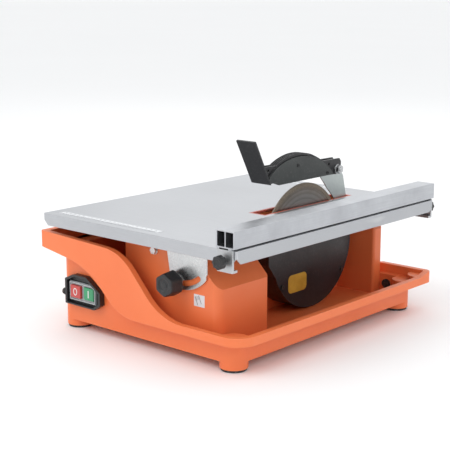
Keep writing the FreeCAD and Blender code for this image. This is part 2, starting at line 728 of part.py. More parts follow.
def table_top():
    low = table_top_z - table_flange
    shell = box(table_left, table_right, -table_half, table_half, low, table_top_z)
    uprights = [e for e in shell.Edges if is_upright(e)]
    shell = shell.makeFillet(3, uprights)
    inner = box(table_left + table_sheet, table_right - table_sheet, -table_half + table_sheet,
                table_half - table_sheet, low - 1, under_table)
    shell = shell.cut(inner)
    mitres = []
    for x, y, turn in ((table_left, -table_half, 45), (table_right, -table_half, 135),
                       (table_right, table_half, 225), (table_left, table_half, 315)):
        wedge = plate_xz([(-2, -1), (8, -1), (-2, 13)], -20, 20)
        wedge.rotate(V(0, 0, 0), V(0, 0, 1), turn)
        wedge.translate(V(x, y, low))
        mitres.append(wedge)
    shell = shell.cut(Part.makeCompound(mitres))
    x0, x1, y0, y1 = slot
    return shell.cut(box(x0, x1, y0, y1, low, table_top_z + 1))


def slot_insert():
    x0, x1, y0, y1 = slot
    ring = box(x0, x1, y0, y1, table_top_z - 3.5, table_top_z)
    return ring.cut(box(x0 + 4, x1 - 4, y0 + 4, y1 - 4, table_top_z - 5, table_top_z + 1))


def arc_slot(y0, y1, half_width):
    """Curved slot about the hinge line: the locking stud stays, and the slot sweeps past it."""
    centre = V(blade_x, y0, hinge_z)
    ring = cyl_y(y0, y1, lock_r + half_width, blade_x, hinge_z)
    ring = ring.cut(cyl_y(y0 - 1, y1 + 1, lock_r - half_width, blade_x, hinge_z))
    reach = 2 * lock_r
    first, last = math.radians(lock_deg), math.radians(lock_deg + tilt_max)
    corners = [(centre.x, centre.z)]
    corners += [(centre.x + reach * math.cos(a), centre.z + reach * math.sin(a))
                for a in (first, last)]
    ring = ring.common(plate_xz(corners, y0, y1))
    ends = [cyl_y(y0, y1, half_width, centre.x + lock_r * math.cos(a),
                  centre.z + lock_r * math.sin(a)) for a in (first, last)]
    return fuse([ring] + ends)


def bracket_plate(y0, y1):
    rim = lock_r + 10
    angles = [math.radians(a) for a in (-108, -75, -42)]
    start, middle, end = [V(blade_x + rim * math.cos(a), y0, hinge_z + rim * math.sin(a))
                          for a in angles]
    corners = [end, V(end.x, y0, under_table), V(40, y0, under_table), V(40, y0, 165), start]
    edges = [Part.Arc(start, middle, end).toShape()]
    edges += [Part.makeLine(corners[i], corners[i + 1]) for i in range(4)]
    plate = Part.Face(Part.Wire(edges)).extrude(V(0, y1 - y0, 0))
    return plate.cut(cyl_y(y0 - 1, y1 + 1, hinge_pin_r + run_fit, blade_x, hinge_z))


front_y0 = island_front - air - bracket_t
rear_y0 = island_rear - air - bracket_t
tab_rivets = [50.0, 80.0, 108.0]


def front_tilt_bracket():
    y1 = front_y0 + bracket_t
    plate = bracket_plate(front_y0, y1).cut(arc_slot(front_y0 - 1, y1 + 1, 4.3))
    tab = box(40, 119, -240, front_y0, under_table - bracket_t, under_table)
    holes = [cyl_z(under_table - 4, under_table + 1, 2.1, x, -229) for x in tab_rivets]
    return plate.fuse(tab).removeSplitter().cut(Part.makeCompound(holes))


def rear_bracket_plate(y0, y1):
    """Hanger that turns inside the well, so it stays right of the inner wall of the post."""
    rim = 22.0
    angles = [math.radians(a) for a in (-160, -95, -30)]
    start, middle, end = [V(blade_x + rim * math.cos(a), y0, hinge_z + rim * math.sin(a))
                          for a in angles]
    corners = [end, V(112, y0, 176), V(119, y0, 182), V(119, y0, under_table), V(48, y0, under_table),
               V(48, y0, 172), start]
    edges = [Part.Arc(start, middle, end).toShape()]
    edges += [Part.makeLine(a, b) for a, b in zip(corners, corners[1:])]
    plate = Part.Face(Part.Wire(edges)).extrude(V(0, y1 - y0, 0))
    return plate.cut(cyl_y(y0 - 1, y1 + 1, hinge_pin_r + run_fit, blade_x, hinge_z))


def rear_tilt_bracket():
    y1 = rear_y0 + bracket_t
    plate = rear_bracket_plate(rear_y0, y1)
    tab = box(40, 119, y1, 238, under_table - bracket_t, under_table)
    holes = [cyl_z(under_table - 4, under_table + 1, 2.1, x, 229) for x in tab_rivets]
    return plate.fuse(tab).removeSplitter().cut(Part.makeCompound(holes))


def bracket_rivets():
    rivets = []
    for x in tab_rivets:
        for y in (-229, 229):
            rivets.append(cyl_z(under_table - bracket_t, under_table, 2.0, x, y))
    return Part.makeCompound(rivets)


def hinge_pin(face_y, head_y):
    """Shouldered pin through the bracket and the post wall, with its nut inside the post."""
    inside = face_y + island_wall
    shank = cyl_y(head_y, inside + 9, hinge_pin_r, blade_x, hinge_z)
    head = hex_y(head_y - 4, head_y, 15, blade_x, hinge_z)
    nut = hex_y(inside, inside + 7, 13, blade_x, hinge_z)
    return fuse([shank, head, nut])


def hinge_pins():
    front = hinge_pin(island_front, front_y0 - air)
    rear = hinge_pin(island_rear, rear_y0 - air)
    return Part.makeCompound([front, rear])


def lock_stud():
    stud = cyl_y(front_y0 - 19, island_front + 12, 4, lock_x, lock_z)
    flange = hex_y(island_front + island_wall, island_front + island_wall + 5, 13, lock_x, lock_z)
    return stud.fuse(flange)


def lock_washer():
    y1 = front_y0 - air
    return cyl_y(y1 - 2, y1, 11, lock_x, lock_z).cut(cyl_y(y1 - 3, y1 + 1, 4.1, lock_x, lock_z))


def lock_knob():
    y1 = front_y0 - air - 2 - air
    y0 = y1 - 28
    hub = cyl_y(y0, y1, 17.5, lock_x, lock_z)
    lobes = []
    for i in range(6):
        a = math.pi / 3 * i
        x, z = lock_x + 14.5 * math.cos(a), lock_z + 14.5 * math.sin(a)
        lobes.append(cyl_y(y0, y1 - 5, 5.5, x, z))
    knob = fuse([hub] + lobes)
    return knob.cut(cyl_y(y0 + 4, y1 + 1, 4 + run_fit, lock_x, lock_z))


def stop_screw():
    x, z = stop_bolt
    washer = cyl_y(island_front - 1.5, island_front, 6.4, x, z)
    head = hex_y(island_front - 5.5, island_front - 1.5, 10, x, z)
    shank = cyl_y(island_front, island_front + 12, 3, x, z)
    return fuse([washer, head, shank])


def angle_scale():
    return box(92, 113, island_front - 0.2, island_front, 82, 100)


def scale_strips():
    strips = [box(-178, 40, y0, y0 + 13, table_top_z, table_top_z + 0.3) for y0 in (-238, 225)]
    return Part.makeCompound(strips)


# ---------------------------------------------------------------- fence
fence_x0 = 172.0
fence_x1 = 205.0
fence_low = table_top_z + 0.6
fence_under = 189.6
fence_high = 214.6
fence_half = 255.9
clamp_screw_z = 172.0
clamp_mid = 188.0


def fence_rail():
    """Box section with a web, on two feet that keep its outer face clear of the table."""
    def run(x0, x1, z0, z1, past=0):
        return box(x0, x1, -fence_half - past, fence_half + past, z0, z1)

    skin = 2.0
    middle = (fence_x0 + fence_x1) / 2
    tube = run(fence_x0, fence_x1, fence_under, fence_high)
    top_edges = [e for e in tube.Edges if e.Length > fence_half and e.CenterOfMass.z > fence_high - 0.01]
    tube = tube.makeFillet(1.2, top_edges)
    for x0, x1 in ((fence_x0 + skin, middle - skin / 2), (middle + skin / 2, fence_x1 - skin)):
        tube = tube.cut(run(x0, x1, fence_under + skin, fence_high - skin, 5))
    feet = [run(x0, x0 + 6, fence_low, fence_under) for x0 in (fence_x0, fence_x1 - 11)]
    return fuse([tube] + feet)


def fence_clamp(side):
    face = table_half + 0.4
    plate = box(174, 202, -fence_half, -face, 156, fence_low)
    hook = box(174, 202, -face, -face + 7, 156, 159.5)
    bore = cyl_y(-fence_half - 1, -face + 1, 3 + run_fit, clamp_mid, clamp_screw_z)
    shape = fuse([plate, hook]).cut(bore)
    return shape if side < 0 else shape.mirror(V(0, 0, 0), V(0, 1, 0))


def clamp_screw(side):
    y0 = -fence_half - 16
    knob = cyl_y(y0, y0 + 11, 9, clamp_mid, clamp_screw_z)
    grips = []
    for i in range(8):
        a = math.pi / 4 * i
        x, z = clamp_mid + 8.2 * math.cos(a), clamp_screw_z + 8.2 * math.sin(a)
        grips.append(cyl_y(y0, y0 + 11, 2.2, x, z))
    shank = cyl_y(y0 + 11, -table_half - air, 3, clamp_mid, clamp_screw_z)
    shape = fuse([knob] + grips + [shank])
    return shape if side < 0 else shape.mirror(V(0, 0, 0), V(0, 1, 0))


save("base_tray", base_tray())
save("motor_cover", motor_cover())
save("motor_cover_screws", cover_screws())
save("rubber_feet", rubber_feet())
save("foot_screws", foot_screws())
save("rest_pads", rest_pads())
save("drain_plug", drain_plug())
save("switch_housing", switch_housing())
save("switch_plate", switch_plate())
save("stop_button", button(stop_window, front_y - 9))
save("start_button", button(start_window, front_y - 7))
save("switch_body", switch_body())
save("cable_gland", cable_gland())
save("motor_housing", motor_housing())
save("motor_flange", motor_flange())
save("motor_end_bell", motor_end_bell())
save("motor_bearings", bearings())
save("stator", stator())
save("rotor_shaft", rotor_shaft())
save("motor_fan", motor_fan())
save("fan_cowl", fan_cowl())
save("motor_bolts", motor_bolts())
save("shaft_seal", shaft_seal())
save("capacitor", capacitor())
save("capacitor_clip", capacitor_clip())
save("inner_flange", inner_flange())
save("outer_flange", outer_flange())
save("arbor_nut", arbor_nut())
save("blade_disc", blade_disc())
save("blade_cutting_rim", blade_cutting_rim())
save("lower_guard_back", lower_guard_back())
save("lower_guard_cover", lower_guard_cover())
save("lower_guard_screws", lower_guard_screws())
save("guard_badge", guard_badge())
save("riving_knife", riving_knife())
save("knife_bracket", knife_bracket())
save("knife_screws", knife_screws())
save("blade_guard", blade_guard())
save("guard_cheek", guard_cheek())
save("guard_cheek_screws", cheek_screws())
save("guard_visor", guard_visor())
save("guard_pivot_bolt", guard_pivot_bolt())
save("guard_pivot_nut", guard_pivot_nut())
save("table_top", table_top())
save("slot_insert", slot_insert())
save("front_tilt_bracket", front_tilt_bracket())
save("rear_tilt_bracket", rear_tilt_bracket())
save("bracket_rivets", bracket_rivets())
save("hinge_pins", hinge_pins())
save("lock_stud", lock_stud())
save("lock_washer", lock_washer())
save("lock_knob", lock_knob())
save("tilt_stop_screw", stop_screw())
save("scale_strips", scale_strips())
save("fence_rail", fence_rail())
save("front_fence_clamp", fence_clamp(-1))
save("rear_fence_clamp", fence_clamp(1))
save("front_clamp_screw", clamp_screw(-1))
save("rear_clamp_screw", clamp_screw(1))
save("angle_scale", angle_scale())
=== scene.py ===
"""Looks of the bench tile cutter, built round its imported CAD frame.

Metres. +Z is up, +Y is the feed direction, and the operator stands on the -Y side.
"""
import bpy
import json
import math
from mathutils import Euler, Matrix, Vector


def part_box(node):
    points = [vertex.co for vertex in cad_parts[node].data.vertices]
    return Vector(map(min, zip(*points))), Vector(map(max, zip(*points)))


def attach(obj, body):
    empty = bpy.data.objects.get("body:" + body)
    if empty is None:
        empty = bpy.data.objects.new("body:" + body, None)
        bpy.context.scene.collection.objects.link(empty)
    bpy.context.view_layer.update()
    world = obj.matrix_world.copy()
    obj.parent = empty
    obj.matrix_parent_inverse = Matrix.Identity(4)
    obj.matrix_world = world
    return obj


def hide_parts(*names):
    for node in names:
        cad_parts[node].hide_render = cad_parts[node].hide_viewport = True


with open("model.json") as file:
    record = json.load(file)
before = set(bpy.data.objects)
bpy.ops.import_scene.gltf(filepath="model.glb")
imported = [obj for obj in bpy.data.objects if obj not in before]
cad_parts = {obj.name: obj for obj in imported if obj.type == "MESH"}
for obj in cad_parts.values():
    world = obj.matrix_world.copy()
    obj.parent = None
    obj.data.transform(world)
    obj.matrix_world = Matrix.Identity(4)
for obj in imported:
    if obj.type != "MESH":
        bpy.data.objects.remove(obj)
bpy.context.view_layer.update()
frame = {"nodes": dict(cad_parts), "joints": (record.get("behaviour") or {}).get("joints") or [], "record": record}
nodes = frame["nodes"]
record = frame["record"]
MM = 0.001
TURN = 2 * math.pi

# Socket numbers of a Mix node that mixes colours.
MIX_FIRST, MIX_SECOND, MIX_RESULT = 6, 7, 2
COAT_ROUGHNESS = 0.15
# Samples of the node that finds rubbed edges.
EDGE_SAMPLES = 4


# ---------------------------------------------------------------- material kit
class Finish:
    """A node material on the Principled shader, built up from patterns in the CAD frame."""

    def __init__(self, name, roughness=0.5, metallic=0.0, coat=0.0, specular=0.5):
        self.material = bpy.data.materials.new(name)
        self.material.use_nodes = True
        self.tree = self.material.node_tree
        self.tree.nodes.clear()
        output = self.tree.nodes.new("ShaderNodeOutputMaterial")
        self.shader = self.tree.nodes.new("ShaderNodeBsdfPrincipled")
        self.tree.links.new(self.shader.outputs["BSDF"], output.inputs["Surface"])
        self.shader.inputs["Roughness"].default_value = roughness
        self.shader.inputs["Metallic"].default_value = metallic
        self.shader.inputs["Coat Weight"].default_value = coat
        self.shader.inputs["Coat Roughness"].default_value = COAT_ROUGHNESS
        self.shader.inputs["Specular IOR Level"].default_value = specular
        self.place = self.tree.nodes.new("ShaderNodeTexCoord").outputs["Object"]
        self.normal = None

    def node(self, kind, inputs=(), **settings):
        made = self.tree.nodes.new(kind)
        for key, value in settings.items():
            setattr(made, key, value)
        for key, value in dict(inputs).items():
            if isinstance(value, bpy.types.NodeSocket):
                self.tree.links.new(value, made.inputs[key])
            else:
                made.inputs[key].default_value = value
        return made

    def stretched(self, stretch):
        mapping = self.node("ShaderNodeMapping", {"Vector": self.place, "Scale": stretch})
        return mapping.outputs["Vector"]

    def noise(self, scale, detail=2.0, rough=0.5, stretch=None):
        where = self.stretched(stretch) if stretch else self.place
        inputs = {"Vector": where, "Scale": scale, "Detail": detail, "Roughness": rough}
        return self.node("ShaderNodeTexNoise", inputs).outputs["Fac"]

    def rings(self, reach, scale, detail):
        """Noise that changes only with reach, the distance from an axis."""
        inputs = {"W": reach, "Scale": scale, "Detail": detail}
        return self.node("ShaderNodeTexNoise", inputs, noise_dimensions="1D").outputs["Fac"]

    def cells(self, scale):
        inputs = {"Vector": self.place, "Scale": scale}
        return self.node("ShaderNodeTexVoronoi", inputs).outputs["Distance"]

    def spread(self, value, low, high, to_low, to_high):
        """Value, carried from the range low..high to the range to_low..to_high."""
        inputs = {
            "Value": value, "From Min": low, "From Max": high, "To Min": to_low, "To Max": to_high,
        }
        return self.node("ShaderNodeMapRange", inputs).outputs["Result"]

    def times(self, a, b):
        return self.node("ShaderNodeMath", {0: a, 1: b}, operation="MULTIPLY").outputs["Value"]

    def mix(self, share, first, second):
        made = self.node("ShaderNodeMix", {"Factor": share}, data_type="RGBA")
        for key, value in ((MIX_FIRST, first), (MIX_SECOND, second)):
            if isinstance(value, bpy.types.NodeSocket):
                self.tree.links.new(value, made.inputs[key])
            else:
                made.inputs[key].default_value = (*value, 1.0)
        return made.outputs[MIX_RESULT]

    def edges(self, radius, low=0.0, high=0.25):
        """1 along corners and 0 on flats, from how far a rounded normal leans off the true one."""
        rounded = self.node("ShaderNodeBevel", {"Radius": radius}, samples=EDGE_SAMPLES)
        true = self.node("ShaderNodeNewGeometry")
        normals = {0: rounded.outputs["Normal"], 1: true.outputs["Normal"]}
        dot = self.node("ShaderNodeVectorMath", normals, operation="DOT_PRODUCT")
        return self.spread(dot.outputs["Value"], 1.0 - low, 1.0 - high, 0.0, 1.0)

    def from_axis(self, centre):
        """Distance from a line along X through centre."""
        offset = {0: self.place, 1: (0.0, centre[1], centre[2])}
        moved = self.node("ShaderNodeVectorMath", offset, operation="SUBTRACT").outputs["Vector"]
        flat = {0: moved, 1: (0.0, 1.0, 1.0)}
        level = self.node("ShaderNodeVectorMath", flat, operation="MULTIPLY").outputs["Vector"]
        return self.node("ShaderNodeVectorMath", {0: level}, operation="LENGTH").outputs["Value"]

    def colour(self, value):
        self.tree.links.new(value, self.shader.inputs["Base Color"])

    def roughness(self, value):
        self.tree.links.new(value, self.shader.inputs["Roughness"])

    def bump(self, height, strength, distance):
        inputs = {"Height": height, "Strength": strength, "Distance": distance}
        if self.normal:
            inputs["Normal"] = self.normal
        self.normal = self.node("ShaderNodeBump", inputs).outputs["Normal"]
        self.tree.links.new(self.normal, self.shader.inputs["Normal"])


DUST = (0.42, 0.39, 0.36)


def moulded(name, light, dark, rough, worn=None, grain=1500.0, coat=0.0, dust=0.0):
    """Moulded plastic or rubber: a broad tone change and a fine spark-eroded grain.

    worn is the colour of rubbed corners and dust is how much pale dust lies on it.
    """
    finish = Finish(name, coat=coat)
    tone = finish.spread(finish.noise(7.0, 4.0, 0.6), 0.3, 0.7, 0.0, 1.0)
    colour = finish.mix(tone, dark, light)
    fine = finish.noise(grain, 2.0, 0.6)
    if worn:
        patchy = finish.spread(finish.noise(60.0, 3.0, 0.6), 0.4, 0.65, 0.15, 0.8)
        colour = finish.mix(finish.times(finish.edges(1.2 * MM), patchy), colour, worn)
    if dust:
        specks = finish.spread(finish.noise(240.0, 5.0, 0.7), 0.52, 0.75, 0.0, dust)
        colour = finish.mix(specks, colour, DUST)
    finish.colour(colour)
    smears = finish.noise(22.0, 3.0, 0.6)
    finish.roughness(finish.spread(smears, 0.3, 0.7, rough - 0.06, rough + 0.08))
    finish.bump(fine, 0.22, 0.00012)
    finish.bump(finish.noise(90.0, 2.0, 0.5), 0.08, 0.0003)
    return finish.material


def metal(name, light, dark, rough, scale, stretch=(1.0, 1.0, 1.0), lines=0.2, worn=None):
    """Metal with soft stains and a drawn or ground grain, which runs along the smallest stretch.

    worn is the colour of rubbed corners.
    """
    finish = Finish(name, metallic=1.0)
    grain = finish.noise(scale, 3.0, 0.65, stretch)
    stains = finish.spread(finish.noise(14.0, 4.0, 0.65), 0.35, 0.7, 0.0, 1.0)
    colour = finish.mix(stains, light, dark)
    streaks = finish.spread(grain, 0.35, 0.65, 0.0, 0.35)
    colour = finish.mix(streaks, colour, dark)
    if worn:
        colour = finish.mix(finish.edges(0.8 * MM), colour, worn)
    finish.colour(colour)
    finish.roughness(finish.spread(grain, 0.3, 0.7, rough - 0.07, rough + 0.09))
    finish.bump(grain, lines, 0.0001)
    return finish.material


def orange_plastic():
    finish = Finish("orange_plastic")
    tone = finish.spread(finish.noise(5.0, 4.0, 0.55), 0.3, 0.7, 0.0, 1.0)
    colour = finish.mix(tone, (0.80, 0.165, 0.045), (0.86, 0.205, 0.066))
    patchy = finish.spread(finish.noise(45.0, 3.0, 0.6), 0.35, 0.7, 0.2, 0.9)
    corners = finish.times(finish.edges(1.6 * MM, 0.02, 0.3), patchy)
    colour = finish.mix(corners, colour, (0.93, 0.36, 0.18))
    scuffs = finish.noise(130.0, 6.0, 0.75, (1.0, 1.0, 3.0))
    colour = finish.mix(finish.spread(scuffs, 0.60, 0.80, 0.0, 0.35), colour, (0.88, 0.34, 0.19))
    finish.colour(colour)
    smears = finish.noise(16.0, 4.0, 0.6)
    finish.roughness(finish.spread(smears, 0.3, 0.7, 0.36, 0.50))
    finish.bump(finish.noise(1300.0, 2.0, 0.6), 0.20, 0.00012)
    finish.bump(finish.noise(38.0, 2.0, 0.5), 0.06, 0.0006)
    return finish.material


def table_steel():
    finish = Finish("table_steel", metallic=1.0)
    grain = finish.noise(1.0, 4.0, 0.7, (26.0, 1500.0, 1500.0))
    clouds = finish.spread(finish.noise(6.0, 4.0, 0.6), 0.3, 0.7, 0.0, 1.0)
    colour = finish.mix(clouds, (0.46, 0.47, 0.49), (0.54, 0.55, 0.57))
    colour = finish.mix(finish.spread(grain, 0.35, 0.7, 0.0, 0.4), colour, (0.37, 0.38, 0.40))
    scratches = finish.noise(1.0, 1.0, 0.5, (1400.0, 9.0, 40.0))
    marks = finish.spread(scratches, 0.70, 0.76, 0.0, 0.35)
    colour = finish.mix(marks, colour, (0.68, 0.69, 0.70))
    # Painted highlight: the colour is lightened to a pale grey along every edge.
    finish.colour(finish.mix(finish.edges(1.0 * MM), colour, (0.80, 0.81, 0.82)))
    finish.roughness(finish.spread(clouds, 0.0, 1.0, 0.30, 0.40))
    finish.bump(grain, 0.10, 0.00008)
    finish.bump(marks, 0.10, 0.00005)
    return finish.material


def blade_steel():
    """Ground steel with rings and bands about the arbor, and slurry stains towards the rim."""
    stain_from, stain_to = 76 * MM, 92 * MM
    finish = Finish("blade_steel", metallic=1.0)
    reach = finish.from_axis(blade_centre)
    rings = finish.rings(reach, 1600.0, 4.0)
    broad = finish.rings(reach, 130.0, 2.0)
    bands = finish.spread(broad, 0.38, 0.62, 0.0, 1.0)
    colour = finish.mix(bands, (0.34, 0.32, 0.30), (0.17, 0.155, 0.14))
    bright = finish.spread(rings, 0.3, 0.7, 0.0, 0.6)
    colour = finish.mix(bright, colour, (0.42, 0.40, 0.38))
    near_rim = finish.spread(reach, stain_from, stain_to, 0.0, 0.75)
    patchy = finish.spread(finish.noise(120.0, 5.0, 0.7), 0.3, 0.6, 0.3, 1.0)
    finish.colour(finish.mix(finish.times(near_rim, patchy), colour, (0.24, 0.19, 0.14)))
    finish.roughness(finish.spread(rings, 0.3, 0.7, 0.32, 0.46))
    finish.bump(rings, 0.25, 0.00008)
    return finish.material


def diamond_grit():
    finish = Finish("diamond_grit", metallic=0.35)
    grains = finish.cells(1500.0)
    depth = finish.spread(grains, 0.1, 0.6, 0.0, 1.0)
    colour = finish.mix(depth, (0.46, 0.40, 0.32), (0.20, 0.16, 0.12))
    patches = finish.spread(finish.noise(160.0, 4.0, 0.6), 0.4, 0.7, 0.0, 0.6)
    finish.colour(finish.mix(patches, colour, (0.30, 0.25, 0.19)))
    finish.roughness(finish.spread(grains, 0.1, 0.6, 0.45, 0.75))
    finish.bump(grains, 0.7, 0.0003)
    return finish.material


def gold_label():
    finish = Finish("gold_label", metallic=0.25, coat=0.4)
    flake = finish.cells(2400.0)
    shade = finish.spread(finish.noise(60.0, 3.0, 0.5), 0.3, 0.7, 0.0, 1.0)
    colour = finish.mix(shade, (0.70, 0.44, 0.05), (0.56, 0.32, 0.03))
    finish.colour(finish.mix(finish.spread(flake, 0.0, 0.5, 0.5, 0.0), colour, (0.86, 0.62, 0.18)))
    finish.roughness(finish.spread(flake, 0.0, 0.6, 0.28, 0.42))
    finish.bump(flake, 0.08, 0.00005)
    return finish.material


def printed_white():
    finish = Finish("white_scale", coat=0.3)
    tone = finish.spread(finish.noise(40.0, 4.0, 0.6), 0.3, 0.7, 0.0, 1.0)
    colour = finish.mix(tone, (0.66, 0.68, 0.70), (0.74, 0.75, 0.77))
    rubbed = finish.spread(finish.noise(260.0, 5.0, 0.75), 0.62, 0.8, 0.0, 0.5)
    finish.colour(finish.mix(rubbed, colour, (0.48, 0.50, 0.52)))
    finish.roughness(finish.spread(tone, 0.0, 1.0, 0.28, 0.38))
    finish.bump(finish.noise(900.0, 2.0, 0.5), 0.05, 0.00005)
    return finish.material


def joint_place(name):
    """A point on a joint's axis."""
    return Vector(next(j for j in frame["joints"] if j["name"] == name)["pos_m"])


blade_centre = joint_place("blade_spin")
hinge = joint_place("table_tilt")

MATERIALS = {
    "orange_plastic": orange_plastic(),
    "zinc": metal("zinc", (0.66, 0.665, 0.66), (0.50, 0.51, 0.52), 0.30, 380.0, lines=0.12,
                  worn=(0.82, 0.83, 0.84)),
    "black_rubber": moulded("black_rubber", (0.030, 0.030, 0.031), (0.018, 0.018, 0.019), 0.72,
                            dust=0.35),
    "grey_rubber": moulded("grey_rubber", (0.30, 0.31, 0.32), (0.22, 0.23, 0.24), 0.65, dust=0.3),
    "black_plastic": moulded("black_plastic", (0.016, 0.016, 0.018), (0.010, 0.010, 0.011), 0.38,
                             worn=(0.12, 0.12, 0.125), dust=0.06),
    "guard_plastic": moulded("guard_plastic", (0.050, 0.055, 0.053), (0.032, 0.036, 0.035), 0.42,
                             worn=(0.19, 0.20, 0.20), dust=0.10),
    "switch_grey": moulded("switch_grey", (0.34, 0.35, 0.36), (0.26, 0.27, 0.28), 0.30, coat=0.2),
    "red_plastic": moulded("red_plastic", (0.56, 0.060, 0.050), (0.44, 0.035, 0.030), 0.30,
                           worn=(0.72, 0.25, 0.22), coat=0.25),
    "green_plastic": moulded("green_plastic", (0.045, 0.38, 0.17), (0.025, 0.27, 0.11), 0.30,
                             worn=(0.25, 0.58, 0.38), coat=0.25),
    "cast_aluminium": metal("cast_aluminium", (0.60, 0.61, 0.62), (0.46, 0.47, 0.48), 0.46, 900.0,
                            lines=0.35, worn=(0.80, 0.81, 0.82)),
    "bearing_steel": metal("bearing_steel", (0.60, 0.61, 0.62), (0.48, 0.49, 0.50), 0.24, 700.0),
    "dark_steel": metal("dark_steel", (0.16, 0.14, 0.13), (0.08, 0.07, 0.06), 0.42, 500.0),
    "capacitor_grey": moulded("capacitor_grey", (0.56, 0.57, 0.58), (0.48, 0.49, 0.50), 0.35),
    "blade_steel": blade_steel(),
    "diamond_grit": diamond_grit(),
    "gold_label": gold_label(),
    "knife_steel": metal("knife_steel", (0.60, 0.64, 0.625), (0.47, 0.51, 0.50), 0.38, 900.0,
                         stretch=(1.0, 1.0, 0.03), worn=(0.80, 0.83, 0.82)),
    "table_steel": table_steel(),
    "red_insert": moulded("red_insert", (0.60, 0.105, 0.065), (0.44, 0.070, 0.045), 0.42,
                          worn=(0.76, 0.34, 0.27), dust=0.4),
    "white_scale": printed_white(),
    "fence_aluminium": metal("fence_aluminium", (0.56, 0.575, 0.60), (0.44, 0.45, 0.475), 0.36,
                             1100.0, stretch=(1.0, 0.012, 1.0), worn=(0.78, 0.79, 0.81)),
}
ink = moulded("black_ink", (0.035, 0.035, 0.04), (0.018, 0.018, 0.02), 0.5, grain=2600.0)
white_print = moulded("white_print", (0.84, 0.84, 0.82), (0.74, 0.74, 0.73), 0.4, grain=2600.0)
clear_grey = moulded("clear_grey", (0.52, 0.54, 0.55), (0.42, 0.44, 0.45), 0.22, coat=0.4)


# ---------------------------------------------------------------- carried-over CAD nodes
SHARP_ANGLE = math.radians(40)
BEVEL_ANGLE = math.radians(35)
FLAT_ANGLE = math.radians(0.5)
WELD_GAP = 0.01 * MM


def smoothing_group():
    """Geometry nodes that shade faces smooth and keep edges over SHARP_ANGLE sharp."""
    group = bpy.data.node_groups.new("smooth_by_angle", "GeometryNodeTree")
    group.interface.new_socket("Geometry", in_out="INPUT", socket_type="NodeSocketGeometry")
    group.interface.new_socket("Geometry", in_out="OUTPUT", socket_type="NodeSocketGeometry")
    start = group.nodes.new("NodeGroupInput")
    end = group.nodes.new("NodeGroupOutput")
    faces = group.nodes.new("GeometryNodeSetShadeSmooth")
    sharp = group.nodes.new("GeometryNodeSetShadeSmooth")
    sharp.domain = "EDGE"
    sharp.inputs["Shade Smooth"].default_value = False
    angle = group.nodes.new("GeometryNodeInputMeshEdgeAngle")
    over = group.nodes.new("FunctionNodeCompare")
    over.operation = "GREATER_THAN"
    over.inputs[1].default_value = SHARP_ANGLE
    link = group.links.new
    link(angle.outputs["Unsigned Angle"], over.inputs[0])
    link(start.outputs[0], faces.inputs["Geometry"])
    link(faces.outputs["Geometry"], sharp.inputs["Geometry"])
    link(over.outputs["Result"], sharp.inputs["Selection"])
    link(sharp.outputs["Geometry"], end.inputs[0])
    return group


smooth = smoothing_group()

# How far each node's edges are rounded, in millimetres. Nodes that aren't here get SMALL_EDGE.
SMALL_EDGE = 0.3
EDGE_WIDTH = {
    "base_tray": 1.6, "motor_cover": 0.8, "table_top": 0.9, "fence_rail": 0.5, "blade_guard": 1.0,
    "guard_cheek": 1.0, "guard_visor": 0.8, "lower_guard_back": 1.2, "lower_guard_cover": 1.4,
    "switch_housing": 0.9, "switch_plate": 0.4, "slot_insert": 0.4, "scale_strips": 0.06,
    "guard_badge": 0.15, "angle_scale": 0.05, "blade_disc": 0.1, "blade_cutting_rim": 0.4,
    "riving_knife": 0.4, "rest_pads": 0.8, "cable_gland": 0.5, "front_fence_clamp": 0.8,
    "rear_fence_clamp": 0.8, "front_tilt_bracket": 0.5, "rear_tilt_bracket": 0.5,
}


def soften(obj, width, segments):
    """Rounds an object's hard edges by width millimetres with modifiers, not in its mesh."""
    weld = obj.modifiers.new("weld", "WELD")
    weld.merge_threshold = WELD_GAP
    flat = obj.modifiers.new("flat", "DECIMATE")
    flat.decimate_type = "DISSOLVE"
    flat.angle_limit = FLAT_ANGLE
    bevel = obj.modifiers.new("bevel", "BEVEL")
    bevel.width = width * MM
    bevel.segments = segments
    bevel.limit_method = "ANGLE"
    bevel.angle_limit = BEVEL_ANGLE
    shade = obj.modifiers.new("shade", "NODES")
    shade.node_group = smooth
    weighted = obj.modifiers.new("weighted", "WEIGHTED_NORMAL")
    weighted.keep_sharp = True


for row in record["subparts"]:
    cad = nodes[row["node"]]
    for holder in cad.material_slots:
        holder.link = "OBJECT"
        holder.material = MATERIALS[row["material_slot"]]
    if row["node"] in EDGE_WIDTH:
        soften(cad, EDGE_WIDTH[row["node"]], 3)
    else:
        soften(cad, SMALL_EDGE, 2)


# ---------------------------------------------------------------- piece kit
def piece(name, points, faces, material, body, slot):
    """A mesh object, placed in the CAD frame, that rides on body. slot is not used."""
    mesh = bpy.data.meshes.new(name)
    mesh.from_pydata([tuple(p) for p in points], [], faces)
    mesh.validate()
    mesh.materials.append(material)
    obj = bpy.data.objects.new(name, mesh)
    bpy.context.scene.collection.objects.link(obj)
    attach(obj, body)
    return obj


def round_outline(_angle):
    return 1.0


def hex_outline(angle):
    """A hexagon of unit apothem. A higher sharpness gives tighter corners."""
    sharpness = 18
    total = sum(abs(math.cos(angle - k * math.pi / 3)) ** sharpness for k in range(3))
    return 1.0 / total ** (1 / sharpness)


def fluted_outline(angle):
    flutes, depth = 8, 0.055
    return 1.0 + depth * math.cos(flutes * angle)


